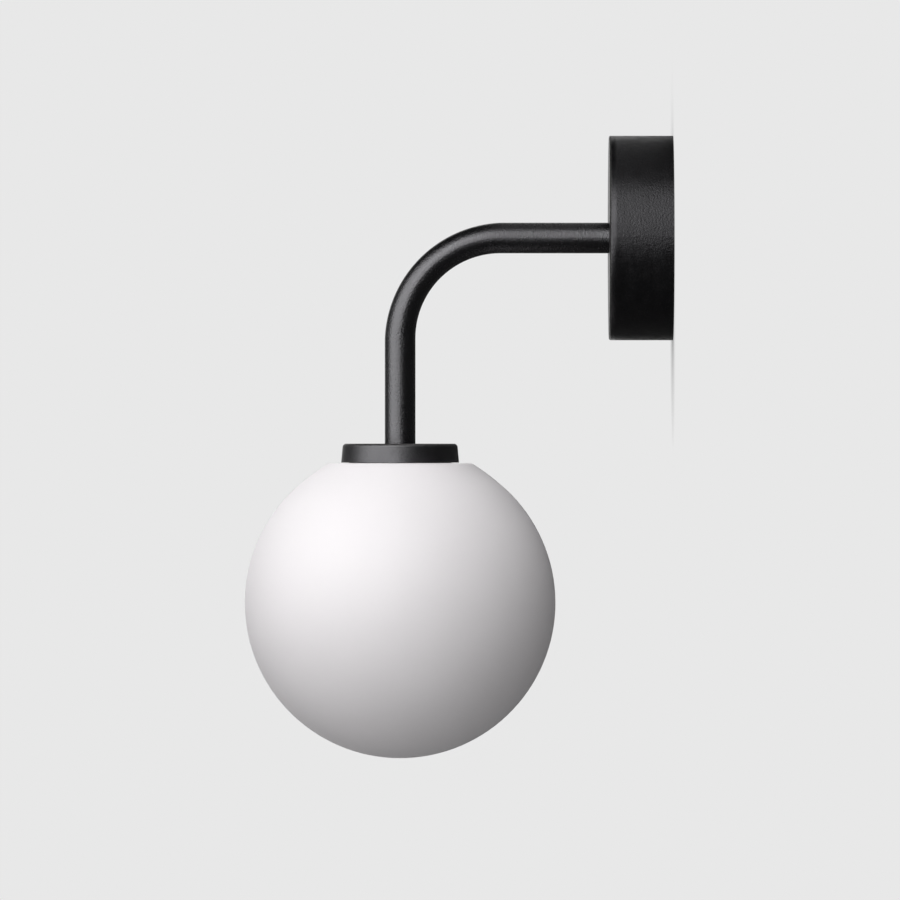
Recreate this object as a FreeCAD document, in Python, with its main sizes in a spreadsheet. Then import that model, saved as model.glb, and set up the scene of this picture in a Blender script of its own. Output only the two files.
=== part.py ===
import FreeCAD, Part
import Sketcher
import math
import os
import re

# Globe wall sconce: bracket, canopy, bent arm, cap and an opal glass globe that screws on.
# Millimetres, +Z up. The wall is the plane y = 0, the lamp stands out towards -Y, and the origin is
# the middle of the canopy's back. The arm's level axis is y, its drop axis is upright.

SIZES = {
    # Clearances
    "part_gap": 0.3,
    "fit_gap": 0.03,
    "thread_gap": 0.05,
    "hole_gap": 0.1,
    # Canopy, a drawn steel cover
    "canopy_diameter": 100,
    "canopy_depth": 31.4,
    "canopy_wall": 1.5,
    "canopy_edge_radius": 1,
    "canopy_screw_height": 8,
    "canopy_screw_diameter": 4,
    "canopy_screw_length": 6,
    "canopy_screw_sink": 0.15,
    # Slots of all slotted screws
    "driver_slot_width": 0.8,
    "driver_slot_depth": 0.9,
    "head_rounding": 0.6,
    # Bracket, bent from strip
    "bracket_width": 18,
    "bracket_sheet": 2,
    "bracket_bend_radius": 1,
    "ear_depth": 13,
    "wall_screw_spacing": 60,
    "wall_slot_width": 4.6,
    "wall_slot_length": 11,
    "cable_hole_diameter": 12,
    "tab_margin": 0.5,
    # Earth point
    "earth_height": 20,
    "earth_screw_diameter": 4,
    "earth_head_diameter": 7,
    "earth_head_height": 2.4,
    "earth_washer_diameter": 8,
    "earth_washer_sheet": 0.6,
    "earth_tag_sheet": 0.8,
    "earth_barrel_diameter": 3.4,
    "earth_barrel_length": 5,
    "earth_barrel_lap": 1,
    # Terminal block on the side tab
    "block_reach": 26,
    "block_width": 16,
    "block_height": 14,
    "pole_pitch": 8,
    "pole_wall": 0.5,
    "pole_level": 7,
    "terminal_diameter": 4.6,
    "terminal_bore": 3,
    "terminal_length": 12,
    "terminal_screw_diameter": 2.5,
    "terminal_screw_length": 4.5,
    "terminal_screw_spacing": 7,
    "driver_hole_diameter": 3.2,
    "block_groove_width": 1,
    "block_groove_depth": 3,
    "block_screw_diameter": 2.5,
    "block_head_diameter": 4.4,
    "block_head_height": 1.7,
    # Hollow threaded tubes, nuts and washers at both ends of the arm
    "pipe_thread_diameter": 10,
    "pipe_bore": 7,
    "wall_nipple_spare": 7.2,
    "lamp_nipple_spare": 0.8,
    "nipple_seat": 10,
    "nut_across_flats": 14,
    "nut_height": 3.5,
    "washer_diameter": 16,
    "washer_sheet": 0.8,
    "bush_length": 12,
    "wire_bush_bore": 5.6,
    "wire_bush_flange": 9.6,
    "wire_bush_lip": 1.5,
    "wire_bush_depth": 5,
    "wire_bush_rounding": 0.5,
    # Arm, bent from tube; the bend is a little flatter than the straight runs
    "tube_diameter": 15,
    "tube_wall": 1.5,
    "bend_radius": 49,
    "bend_flattening": 1,
    "arm_projection": 133.5,
    "drop_height": 100.6,
    # Wires
    "wire_diameter": 2.2,
    "core_diameter": 1.2,
    "core_length": 4.5,
    "wire_offset": 1.3,
    "wire_lead_out": 6.5,
    "wire_entry_gap": 0.3,
    # Cap at the foot of the arm
    "cap_top_diameter": 56,
    "cap_flare": 0.85,
    "cap_height": 9.25,
    "cap_wall": 1.5,
    "cap_edge_radius": 1.8,
    # Threaded ring that carries the glass, and its rounded thread
    "ring_side_gap": 1,
    "ring_flange": 1.2,
    "ring_wall": 1.5,
    "ring_lip": 1.3,
    "thread_lead": 3.5,
    "thread_height": 1,
    "thread_base": 1.7,
    "thread_crest": 0.9,
    "ring_thread_turns": 1.75,
    "ring_thread_start": 2.7,
    "thread_sink": 0.15,
    # Gasket over the glass neck
    "gasket_thickness": 1,
    # Globe, blown opal glass with a flattened top and a neck
    "globe_diameter": 152,
    "globe_flat_drop": 7.7,
    "glass_wall": 2.5,
    "neck_step": 0.5,
    "neck_wall": 3.7,
    "neck_lip": 0.2,
    "shoulder_angle": 50,
    "shoulder_bend_radius": 130,
    "shoulder_edge_radius": 1.5,
    # Lamp holder on its bracket
    "holder_sheet": 1,
    "holder_strap_width": 14,
    "wire_fork_height": 6.6,
    "holder_length": 24,
    "holder_width": 17,
    "holder_height": 18,
    "holder_corner_radius": 4,
    "holder_screw_depth": 3.2,
    "holder_screw_diameter": 3,
    "holder_screw_length": 4,
    "holder_head_diameter": 5.5,
    "holder_head_height": 1.8,
    "contact_pitch": 9,
    "contact_length": 3.2,
    "contact_width": 2.6,
    "contact_sink": 0.5,
    "wire_entry_depth": 4.5,
    # Plug-in lamp
    "lamp_diameter": 16,
    "lamp_base_height": 9,
    "lamp_capsule_height": 34,
    "lamp_capsule_wall": 1,
    "lamp_pin_diameter": 1.6,
    "lamp_board_width": 10,
    "lamp_board_sheet": 1,
    "lamp_board_length": 28,
}

doc = FreeCAD.newDocument("globe_wall_sconce")
sheet = doc.addObject("Spreadsheet::Sheet", "sizes")
for row, (alias, size) in enumerate(SIZES.items(), start=1):
    sheet.set(f"A{row}", str(size))
    sheet.setAlias(f"A{row}", alias)
doc.recompute()

parts = []

# Places that several pieces share, as expressions of the sheet's cells. Levels are along the axis
# that the piece stands on: y for the wall end, z for the lamp end.
CANOPY_FRONT = "-canopy_depth"
CANOPY_INSIDE = "-canopy_depth + canopy_wall"
CANOPY_BORE = "(canopy_diameter / 2 - canopy_wall)"
EAR_TOP = f"(sqrt({CANOPY_BORE}^2 - (bracket_width / 2)^2) - part_gap)"
PIPE_HOLE = "(pipe_thread_diameter / 2 + hole_gap)"
PIPE_THREAD = "(pipe_thread_diameter / 2 + thread_gap)"
CAP_TOP = "-drop_height"
CAP_BOTTOM = "-drop_height - cap_height"
RING_TOP = "-drop_height - cap_wall"
FLANGE_BOTTOM = f"{RING_TOP} - ring_flange"
CAP_FOOT = "(cap_top_diameter / 2 + cap_flare)"
RING_EDGE = "(cap_top_diameter / 2 - cap_wall - ring_side_gap)"
STRAP_BOTTOM = f"{FLANGE_BOTTOM} - holder_sheet"
LAMP_NUT_LOW = f"{STRAP_BOTTOM} - washer_sheet - nut_height"
LAMP_NIPPLE_END = f"{LAMP_NUT_LOW} - lamp_nipple_spare"
GASKET_TOP = f"{FLANGE_BOTTOM} - part_gap"
GASKET_BOTTOM = f"{GASKET_TOP} - gasket_thickness"
NECK_TOP = f"{GASKET_BOTTOM} - part_gap"
NECK_EDGE = f"({RING_EDGE} - neck_step)"
NECK_BORE = f"({NECK_EDGE} - neck_wall)"
THREAD_ROOT = f"({NECK_BORE} - part_gap - thread_height)"
THREAD_TOP = f"({FLANGE_BOTTOM} - ring_thread_start)"
GLOBE_FLAT = f"{CAP_BOTTOM} - part_gap"
FLAT_HEIGHT = "(globe_diameter / 2 - globe_flat_drop)"
GLOBE_CENTRE = f"({GLOBE_FLAT} - {FLAT_HEIGHT})"
HOLDER_TOP = f"{LAMP_NIPPLE_END} - wire_fork_height"
CHAMBER_TOP = f"{HOLDER_TOP} - wire_entry_depth"
HOLDER_BOTTOM = f"{HOLDER_TOP} - holder_height"
LAMP_TOP = f"{HOLDER_BOTTOM} - part_gap"
LAMP_BASE_BOTTOM = f"{LAMP_TOP} - lamp_base_height"
DROP_AXIS = "-arm_projection"
POLE_LEVEL = "(-bracket_sheet - pole_level)"
BLOCK_MIDDLE = "(-block_reach - block_width / 2)"
BLOCK_LENGTH = "(pole_pitch * 3 + pole_wall * 2)"

# Two places closer than this are the same place.
SAME = 0.001
# An arc of a wire uses this share of its shorter run.
ARC_SHARE = 0.45
# Degrees from a hexagon with a corner on X to one with a flat on X.
FLAT_TURN = 30


def in_sheet(text):
    """The words with an underscore are cells, and each gets the sheet's name in front."""
    return re.sub(r"\b[a-z]+(?:_[a-z]+)+\b", r"sizes.\g<0>", text)


def number(text):
    return float(sheet.evalExpression(in_sheet(text)))


def bind(item, **sizes):
    for name, text in sizes.items():
        item.setExpression(name, in_sheet(text))


def place(item, x="0", y="0", z="0", along="Z"):
    """Puts the item's own origin at a point and lays its own Z axis along a row axis."""
    turns = {
        "X": FreeCAD.Rotation(FreeCAD.Vector(0, 1, 0), 90),
        "Y": FreeCAD.Rotation(FreeCAD.Vector(1, 0, 0), -90),
        "Z": FreeCAD.Rotation(),
    }
    item.Placement = FreeCAD.Placement(FreeCAD.Vector(0, 0, 0), turns[along])
    for axis, text in zip("xyz", (x, y, z)):
        item.setExpression(f"Placement.Base.{axis}", in_sheet(text))
    return item


def keep(item, label):
    """Marks a document object as one of the sconce's pieces."""
    item.Label = label
    parts.append(item)
    return item


def cylinder(name, radius, height, x="0", y="0", z="0", along="Z"):
    item = doc.addObject("Part::Cylinder", name)
    bind(item, Radius=radius, Height=height)
    return place(item, x, y, z, along)


def box(name, length, width, height, x="0", y="0", z="0"):
    item = doc.addObject("Part::Box", name)
    bind(item, Length=length, Width=width, Height=height)
    return place(item, x, y, z)


def fuse(name, *items):
    joined = doc.addObject("Part::MultiFuse", name)
    joined.Shapes = list(items)
    joined.Refine = True
    return joined


def cut(name, base, *tools):
    result = doc.addObject("Part::Cut", name)
    result.Base = base
    result.Tool = tools[0] if len(tools) == 1 else fuse(f"{name}_tools", *tools)
    return result


def group(name, items):
    bundle = doc.addObject("Part::Compound", name)
    bundle.Links = list(items)
    return bundle


def origin_plane(body, role):
    return next(feature for feature in body.Origin.OriginFeatures if feature.Role == role)


def fix(sketch, geometry, point, x, y):
    """Ties one point of a sketch to two expressions; a plain 0 lies on the axis itself."""
    for kind, text, axis in (("DistanceX", x, -2), ("DistanceY", y, -1)):
        if text == "0":
            sketch.addConstraint(Sketcher.Constraint("PointOnObject", geometry, point, axis))
        else:
            limit = Sketcher.Constraint(kind, -1, 1, geometry, point, number(text))
            index = sketch.addConstraint(limit)
            sketch.setExpression(f"Constraints[{index}]", in_sheet(text))


def arc_between(start, end, radius):
    """An arc from start to end that bulges to the right of the way, or to the left if negative."""
    chord = end - start
    sideways = FreeCAD.Vector(chord.y, -chord.x, 0).normalize()
    rise = abs(radius) - math.sqrt(radius ** 2 - (chord.Length / 2) ** 2)
    middle = start + chord * 0.5 + sideways * math.copysign(rise, radius)
    if radius > 0:
        return Part.Arc(start, middle, end), 1, 2
    return Part.Arc(end, middle, start), 2, 1


def draw(body, name, role, outlines=(), circles=()):
    """A sketch of closed outlines and circles. An outline's corner is (x, y), or (x, y, radius)
    where the edge that leaves it is an arc. Counter-clockwise arcs bulge outwards."""
    sketch = body.newObject("Sketcher::SketchObject", name)
    sketch.AttachmentSupport = [(origin_plane(body, role), "")]
    sketch.MapMode = "FlatFace"
    for outline in outlines:
        spots = [FreeCAD.Vector(number(corner[0]), number(corner[1]), 0) for corner in outline]
        edges = []
        for index, corner in enumerate(outline):
            start = spots[index]
            end = spots[(index + 1) % len(spots)]
            if len(corner) == 3:
                curve, first, last = arc_between(start, end, number(corner[2]))
            else:
                curve, first, last = Part.LineSegment(start, end), 1, 2
            geometry = sketch.addGeometry(curve, False)
            edges.append((geometry, first, last))
        for index, (geometry, first, last) in enumerate(edges):
            following, its_first, _ = edges[(index + 1) % len(edges)]
            sketch.addConstraint(Sketcher.Constraint("Coincident", geometry, last, following, its_first))
            fix(sketch, geometry, first, outline[index][0], outline[index][1])
            if len(outline[index]) == 3:
                limit = Sketcher.Constraint("Radius", geometry, abs(number(outline[index][2])))
                tied = sketch.addConstraint(limit)
                sketch.setExpression(f"Constraints[{tied}]", f"abs({in_sheet(outline[index][2])})")
    for x, y, radius in circles:
        centre = FreeCAD.Vector(number(x), number(y), 0)
        ring = Part.Circle(centre, FreeCAD.Vector(0, 0, 1), number(radius))
        geometry = sketch.addGeometry(ring, False)
        fix(sketch, geometry, 3, x, y)
        index = sketch.addConstraint(Sketcher.Constraint("Radius", geometry, number(radius)))
        sketch.setExpression(f"Constraints[{index}]", in_sheet(radius))
    return sketch


def turned(name, along, outline):
    """A body turned about the Y or the Z axis from an outline of (radius, place) corners."""
    body = doc.addObject("PartDesign::Body", name)
    role = "XY_Plane" if along == "Y" else "XZ_Plane"
    sketch = draw(body, f"{name}_outline", role, [outline])
    turn = body.newObject("PartDesign::Revolution", f"{name}_turn")
    turn.Profile = sketch
    turn.ReferenceAxis = (sketch, ["V_Axis"])
    turn.Angle = 360
    return body


def ring_outline(inner, outer, low, high):
    return [(inner, low), (outer, low), (outer, high), (inner, high)]


def round_rim(body, radius, level, along, fillet):
    """Rounds the circular edge that has this radius and lies at this level of the axis."""
    doc.recompute()
    base = body.Tip
    wanted = []
    for index, edge in enumerate(base.Shape.Edges, start=1):
        if edge.Degenerated or not isinstance(edge.Curve, Part.Circle):
            continue
        if abs(edge.Curve.Radius - number(radius)) > SAME:
            continue
        centre = edge.Curve.Center
        at = centre.y if along == "Y" else centre.z
        if abs(at - number(level)) < SAME:
            wanted.append(f"Edge{index}")
    rounding = body.newObject("PartDesign::Fillet", f"{base.Name}_round")
    rounding.Base = (base, wanted)
    bind(rounding, Radius=fillet)
    return body


def pad(body, sketch, length, both_ways=False, backwards=False):
    feature = body.newObject("PartDesign::Pad", f"{sketch.Name}_pad")
    feature.Profile = sketch
    bind(feature, Length=length)
    feature.Midplane = both_ways
    feature.Reversed = backwards
    return feature


def pocket(body, sketch):
    """Cuts right through the body, both ways from the sketch."""
    feature = body.newObject("PartDesign::Pocket", f"{sketch.Name}_pocket")
    feature.Profile = sketch
    feature.Type = "ThroughAll"
    feature.Midplane = True
    return feature


def make_bracket():
    body = doc.addObject("PartDesign::Body", "wall_bracket")
    inside = f"{EAR_TOP} - bracket_sheet"
    side = draw(body, "bracket_side", "YZ_Plane", [[
        ("0", f"-{EAR_TOP}"), ("0", EAR_TOP),
        ("-ear_depth", EAR_TOP), ("-ear_depth", inside),
        ("-bracket_sheet", inside), ("-bracket_sheet", f"-({inside})"),
        ("-ear_depth", f"-({inside})"), ("-ear_depth", f"-{EAR_TOP}"),
    ]])
    strip = pad(body, side, "bracket_width", both_ways=True)
    doc.recompute()
    bends = []
    for index, edge in enumerate(strip.Shape.Edges, start=1):
        ends = [vertex.Point for vertex in edge.Vertexes]
        level = all(abs(end.z - ends[0].z) < SAME and abs(end.y) < SAME for end in ends)
        if level and abs(abs(ends[0].z) - number(EAR_TOP)) < SAME:
            bends.append(f"Edge{index}")
    rounding = body.newObject("PartDesign::Fillet", "bracket_bends")
    rounding.Base = (strip, bends)
    bind(rounding, Radius="bracket_bend_radius")
    tab_end = "-block_reach - block_width - tab_margin"
    tab_side = f"({BLOCK_LENGTH} / 2 + tab_margin)"
    tab = draw(body, "bracket_tab", "XZ_Plane", [[
        (tab_end, f"-{tab_side}"), ("0", f"-{tab_side}"), ("0", tab_side), (tab_end, tab_side),
    ]])
    pad(body, tab, "bracket_sheet")
    half_slot = "(wall_slot_length - wall_slot_width) / 2"
    slot_side = "wall_slot_width / 2"
    middles = []
    ends = []
    for side_sign in ("-", ""):
        middle = f"{side_sign}wall_screw_spacing / 2"
        middles.append([
            (f"-{slot_side}", f"{middle} - {half_slot}"), (slot_side, f"{middle} - {half_slot}"),
            (slot_side, f"{middle} + {half_slot}"), (f"-{slot_side}", f"{middle} + {half_slot}"),
        ])
        ends.append(("0", f"{middle} - {half_slot}", slot_side))
        ends.append(("0", f"{middle} + {half_slot}", slot_side))
    pocket(body, draw(body, "slot_middles", "XZ_Plane", middles))
    pocket(body, draw(body, "slot_ends", "XZ_Plane", (), ends))
    pocket(body, draw(body, "bracket_holes", "XZ_Plane", (), [
        ("0", "0", "cable_hole_diameter / 2"),
        ("0", "earth_height", "earth_screw_diameter / 2 + thread_gap"),
        (BLOCK_MIDDLE, "pole_pitch / 2", "block_screw_diameter / 2 + thread_gap"),
    ]))
    ear_hole = ("0", "-canopy_screw_height", "canopy_screw_diameter / 2 + thread_gap")
    pocket(body, draw(body, "ear_holes", "XY_Plane", (), [ear_hole]))
    return keep(body, "wall_bracket")


def make_canopy():
    body = turned("canopy", "Y", [
        (PIPE_HOLE, CANOPY_FRONT), ("canopy_diameter / 2", CANOPY_FRONT),
        ("canopy_diameter / 2", "0"), (CANOPY_BORE, "0"),
        (CANOPY_BORE, CANOPY_INSIDE), (PIPE_HOLE, CANOPY_INSIDE),
    ])
    round_rim(body, "canopy_diameter / 2", CANOPY_FRONT, "Y", "canopy_edge_radius")
    hole = ("0", "-canopy_screw_height", "canopy_screw_diameter / 2 + hole_gap")
    pocket(body, draw(body, "canopy_screw_holes", "XY_Plane", (), [hole]))
    return keep(body, "canopy")


def make_canopy_screws():
    """Headless screws, turned outwards until they lie in the canopy's holes."""
    outer = "canopy_diameter / 2 - canopy_screw_sink"
    screws = []
    for name, stem_start, slot_start in (
        ("upper", f"{outer} - canopy_screw_length", f"{outer} - driver_slot_depth"),
        ("lower", f"-({outer})", f"-({outer})"),
    ):
        stem = cylinder(f"{name}_screw_stem", "canopy_screw_diameter / 2", "canopy_screw_length",
                        y="-canopy_screw_height", z=stem_start)
        slot = box(f"{name}_screw_slot", "canopy_screw_diameter", "driver_slot_width",
                   "driver_slot_depth", "-canopy_screw_diameter / 2",
                   "-canopy_screw_height - driver_slot_width / 2", slot_start)
        screws.append(cut(f"{name}_canopy_screw", stem, slot))
    return keep(group("canopy_screw_pair", screws), "canopy_screws")


def make_earth_point():
    """A pan-head screw clamps the earth wire's ring tag on a washer."""
    seat = "-bracket_sheet"
    washer_top = f"{seat} - earth_washer_sheet"
    tag_top = f"{washer_top} - earth_tag_sheet"
    hole = "(earth_screw_diameter / 2 + hole_gap)"
    washer = turned("earth_washer", "Y",
                    ring_outline(hole, "earth_washer_diameter / 2", washer_top, seat))
    keep(place(washer, z="earth_height"), "earth_washer")
    screw = turned("earth_screw_body", "Y", [
        ("0", f"{tag_top} - earth_head_height"),
        ("earth_head_diameter / 2", f"{tag_top} - earth_head_height"),
        ("earth_head_diameter / 2", tag_top), ("earth_screw_diameter / 2", tag_top),
        ("earth_screw_diameter / 2", "0"), ("0", "0"),
    ])
    round_rim(screw, "earth_head_diameter / 2", f"{tag_top} - earth_head_height", "Y",
              "head_rounding")
    place(screw, z="earth_height")
    slot = box("earth_screw_slot", "earth_head_diameter", "driver_slot_depth", "driver_slot_width",
               "-earth_head_diameter / 2", f"{tag_top} - earth_head_height",
               "earth_height - driver_slot_width / 2")
    keep(cut("slotted_earth_screw", screw, slot), "earth_screw")
    ring = cylinder("tag_ring", "earth_washer_diameter / 2", "earth_tag_sheet",
                    y=tag_top, z="earth_height", along="Y")
    neck = box("tag_neck", "earth_washer_diameter / 2", "earth_tag_sheet", "earth_barrel_diameter",
               "-earth_washer_diameter / 2 - earth_barrel_lap", tag_top,
               "earth_height - earth_barrel_diameter / 2")
    barrel = cylinder("tag_barrel", "earth_barrel_diameter / 2", "earth_barrel_length",
                      "-earth_washer_diameter / 2 - earth_barrel_length",
                      f"{washer_top} - earth_barrel_diameter / 2", "earth_height", "X")
    screw_hole = cylinder("tag_hole", hole, "earth_tag_sheet", y=tag_top, z="earth_height", along="Y")
    bore = cylinder("tag_bore", "core_diameter / 2 + thread_gap", "earth_barrel_length",
                    "-earth_washer_diameter / 2 - earth_barrel_length",
                    f"{washer_top} - earth_barrel_diameter / 2", "earth_height", "X")
    keep(cut("ring_tag", fuse("tag_blank", ring, neck, barrel), screw_hole, bore), "earth_tag")


def pole_place(pole):
    return f"pole_pitch * {pole}"


def make_terminal_block():
    """Three poles side by side, each with a brass tube and two screws in a nylon housing."""
    face = "-bracket_sheet - block_height"
    blank = box("block_blank", "block_width", "block_height", BLOCK_LENGTH,
                "-block_reach - block_width", face, f"-{BLOCK_LENGTH} / 2")
    tools = []
    tubes = []
    screws = []
    tube_start = f"{BLOCK_MIDDLE} - terminal_length / 2"
    tapped = "terminal_screw_diameter / 2 + thread_gap"
    for pole in (-1, 0, 1):
        tag = f"pole_{pole + 1}"
        level = pole_place(pole)
        tools.append(cylinder(f"{tag}_entry", "terminal_bore / 2", "block_width",
                              "-block_reach - block_width", POLE_LEVEL, level, "X"))
        tools.append(cylinder(f"{tag}_chamber", "terminal_diameter / 2 + fit_gap",
                              "terminal_length", tube_start, POLE_LEVEL, level, "X"))
        outside = cylinder(f"{tag}_tube_outside", "terminal_diameter / 2", "terminal_length",
                           tube_start, POLE_LEVEL, level, "X")
        holes = [cylinder(f"{tag}_tube_bore", "terminal_bore / 2", "terminal_length",
                          tube_start, POLE_LEVEL, level, "X")]
        for end, sign in (("inner", "+"), ("outer", "-")):
            where = f"{BLOCK_MIDDLE} {sign} terminal_screw_spacing / 2"
            tip = f"{POLE_LEVEL} - core_diameter / 2 - terminal_screw_length"
            tools.append(cylinder(f"{tag}_{end}_access", "driver_hole_diameter / 2",
                                  "block_height - pole_level", where, face, level, "Y"))
            holes.append(cylinder(f"{tag}_{end}_tapped", tapped, "terminal_diameter / 2", where,
                                  f"{POLE_LEVEL} - terminal_diameter / 2", level, "Y"))
            stem = cylinder(f"{tag}_{end}_stem", "terminal_screw_diameter / 2",
                            "terminal_screw_length", where, tip, level, "Y")
            slot = box(f"{tag}_{end}_slot", "driver_slot_width", "driver_slot_depth",
                       "terminal_screw_diameter", f"{where} - driver_slot_width / 2", tip,
                       f"{level} - terminal_screw_diameter / 2")
            screws.append(cut(f"{tag}_{end}_screw", stem, slot))
        tubes.append(cut(f"{tag}_tube", outside, *holes))
    for index, sign in enumerate(("-", "+")):
        tools.append(box(f"block_groove_{index}", "block_width", "block_groove_depth",
                         "block_groove_width", "-block_reach - block_width", face,
                         f"{sign}pole_pitch / 2 - block_groove_width / 2"))
    tools.append(cylinder("block_screw_hole", "block_screw_diameter / 2 + hole_gap",
                          "block_height", BLOCK_MIDDLE, face, "pole_pitch / 2", "Y"))
    keep(cut("block_housing", blank, *tools), "terminal_block")
    keep(group("tube_set", tubes), "terminal_tubes")
    keep(group("terminal_screw_set", screws), "terminal_screws")
    head_top = f"{face} - block_head_height"
    screw = turned("block_screw_body", "Y", [
        ("0", head_top), ("block_head_diameter / 2", head_top), ("block_head_diameter / 2", face),
        ("block_screw_diameter / 2", face), ("block_screw_diameter / 2", "0"), ("0", "0"),
    ])
    round_rim(screw, "block_head_diameter / 2", head_top, "Y", "head_rounding")
    place(screw, x=BLOCK_MIDDLE, z="pole_pitch / 2")
    slot = box("block_screw_slot", "block_head_diameter", "driver_slot_depth", "driver_slot_width",
               f"{BLOCK_MIDDLE} - block_head_diameter / 2", head_top,
               "pole_pitch / 2 - driver_slot_width / 2")
    keep(cut("slotted_block_screw", screw, slot), "block_screw")


def hex_nut(name, level, along, offset="0"):
    """A thin hexagon nut whose far face lies at the level."""
    prism = doc.addObject("Part::Prism", f"{name}_prism")
    prism.Polygon = 6
    bind(prism, Circumradius="nut_across_flats / sqrt(3)", Height="nut_height")
    bore = cylinder(f"{name}_bore", PIPE_THREAD, "nut_height")
    nut = cut(f"{name}_blank", prism, bore)
    if along == "Y":
        place(nut, y=level, along="Y")
    else:
        place(nut, y=offset, z=level)
        nut.Placement.Rotation = FreeCAD.Rotation(FreeCAD.Vector(0, 0, 1), FLAT_TURN)
    return keep(nut, name)


def lock_washer(name, low, high, along, offset="0"):
    washer = turned(name, along, ring_outline(PIPE_HOLE, "washer_diameter / 2", low, high))
    return keep(place(washer, y=offset), name)


def make_wall_joint():
    """A hollow threaded tube screwed in the arm's bush goes through the canopy to a nut."""
    washer_back = f"{CANOPY_INSIDE} + washer_sheet"
    lock_washer("wall_lock_washer", CANOPY_INSIDE, washer_back, "Y")
    hex_nut("wall_nut", washer_back, "Y")
    mouth = f"{washer_back} + nut_height + wall_nipple_spare"
    nipple = turned("wall_nipple", "Y", ring_outline(
        "pipe_bore / 2", "pipe_thread_diameter / 2", f"{CANOPY_FRONT} - nipple_seat", mouth))
    keep(nipple, "wall_nipple")
    bush = turned("wall_end_bush", "Y", ring_outline(
        PIPE_THREAD, "tube_diameter / 2 - tube_wall - fit_gap",
        f"{CANOPY_FRONT} - bush_length", CANOPY_FRONT))
    keep(bush, "wall_end_bush")
    sleeve = "pipe_bore / 2 - fit_gap"
    grommet = turned("wire_bush", "Y", [
        ("wire_bush_bore / 2", f"{mouth} - wire_bush_depth"), (sleeve, f"{mouth} - wire_bush_depth"),
        (sleeve, mouth), ("wire_bush_flange / 2", mouth),
        ("wire_bush_flange / 2", f"{mouth} + wire_bush_lip"),
        ("wire_bush_bore / 2", f"{mouth} + wire_bush_lip"),
    ])
    round_rim(grommet, "wire_bush_flange / 2", f"{mouth} + wire_bush_lip", "Y", "wire_bush_rounding")
    round_rim(grommet, "wire_bush_bore / 2", f"{mouth} + wire_bush_lip", "Y", "wire_bush_rounding")
    keep(grommet, "wire_bush")


def bend_ring(angle, radius):
    """The tube's section at an angle of the bend. Bending draws its outer side inwards, most at
    the middle, so the section there is an ellipse."""
    drawn_in = number("bend_flattening / 2") * math.sin(2 * angle)
    outwards = FreeCAD.Vector(0, -math.sin(angle), math.cos(angle))
    across = FreeCAD.Vector(1, 0, 0)
    centre = outwards * (number("bend_radius") - drawn_in)
    if drawn_in < SAME:
        return Part.Wire([Part.Circle(centre, outwards.cross(across), radius).toShape()])
    oval = Part.Ellipse(centre + across * radius, centre + outwards * (radius - drawn_in), centre)
    return Part.Wire([oval.toShape()])


def bend_solid(name, radius_text):
    radius = number(radius_text)
    bend = number("bend_radius")
    half = bend * math.sqrt(0.5)
    spine = Part.Arc(FreeCAD.Vector(0, 0, bend), FreeCAD.Vector(0, -half, half),
                     FreeCAD.Vector(0, -bend, 0))
    pipe = Part.BRepOffsetAPI.MakePipeShell(Part.Wire([spine.toShape()]))
    pipe.setBiNormalMode(FreeCAD.Vector(1, 0, 0))
    for angle in (0, math.pi / 4, math.pi / 2):
        pipe.add(bend_ring(angle, radius), False, False)
    pipe.build()
    pipe.makeSolid()
    item = doc.addObject("Part::Feature", name)
    item.Shape = pipe.shape()
    return place(item, y="-arm_projection + bend_radius", z="-bend_radius")


def arm_run(name, radius, spare):
    """The level run, the bend and the drop of one round outline, longer by spare at both ends."""
    level = cylinder(f"{name}_level", radius, f"arm_projection - bend_radius - canopy_depth + {spare}",
                     y="-arm_projection + bend_radius", along="Y")
    drop = cylinder(f"{name}_drop", radius, f"drop_height - bend_radius + {spare}",
                    y=DROP_AXIS, z=f"-drop_height - {spare}")
    return fuse(name, level, bend_solid(f"{name}_bend", radius), drop)


def make_arm():
    outside = arm_run("arm_outside", "tube_diameter / 2", "0")
    inside = arm_run("arm_inside", "(tube_diameter / 2 - tube_wall)", "bush_length")
    keep(cut("bent_tube", outside, inside), "arm_tube")
    bush = turned("drop_end_bush", "Z", ring_outline(
        PIPE_THREAD, "tube_diameter / 2 - tube_wall - fit_gap", CAP_TOP, f"{CAP_TOP} + bush_length"))
    keep(place(bush, y=DROP_AXIS), "drop_end_bush")


def make_cap():
    taper = "cap_flare * cap_wall / cap_height"
    body = turned("globe_cap", "Z", [
        (PIPE_HOLE, RING_TOP), (f"cap_top_diameter / 2 + {taper} - cap_wall", RING_TOP),
        (f"{CAP_FOOT} - cap_wall", CAP_BOTTOM), (CAP_FOOT, CAP_BOTTOM),
        ("cap_top_diameter / 2", CAP_TOP), (PIPE_HOLE, CAP_TOP),
    ])
    round_rim(body, "cap_top_diameter / 2", CAP_TOP, "Z", "cap_edge_radius")
    return keep(place(body, y=DROP_AXIS), "globe_cap")


def add_thread(body, name, root, crest, level, height):
    """One rounded ridge wound on a body, from its upper end at the level down. Its foot is sunk a
    little way in the body."""
    outside = number(crest) > number(root)
    foot = f"{root} - thread_sink" if outside else f"{root} + thread_sink"
    profile = draw(body, name, "XZ_Plane", [[
        (foot, f"{level} - thread_base / 2"), (crest, f"{level} - thread_crest / 2"),
        (crest, f"{level} + thread_crest / 2"), (foot, f"{level} + thread_base / 2"),
    ]])
    ridge = body.newObject("PartDesign::AdditiveHelix", f"{name}_ridge")
    ridge.Profile = profile
    ridge.ReferenceAxis = (profile, ["V_Axis"])
    ridge.Mode = "pitch-height-angle"
    bind(ridge, Pitch="thread_lead", Height=height)
    ridge.LeftHanded = False
    ridge.Reversed = True


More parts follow.
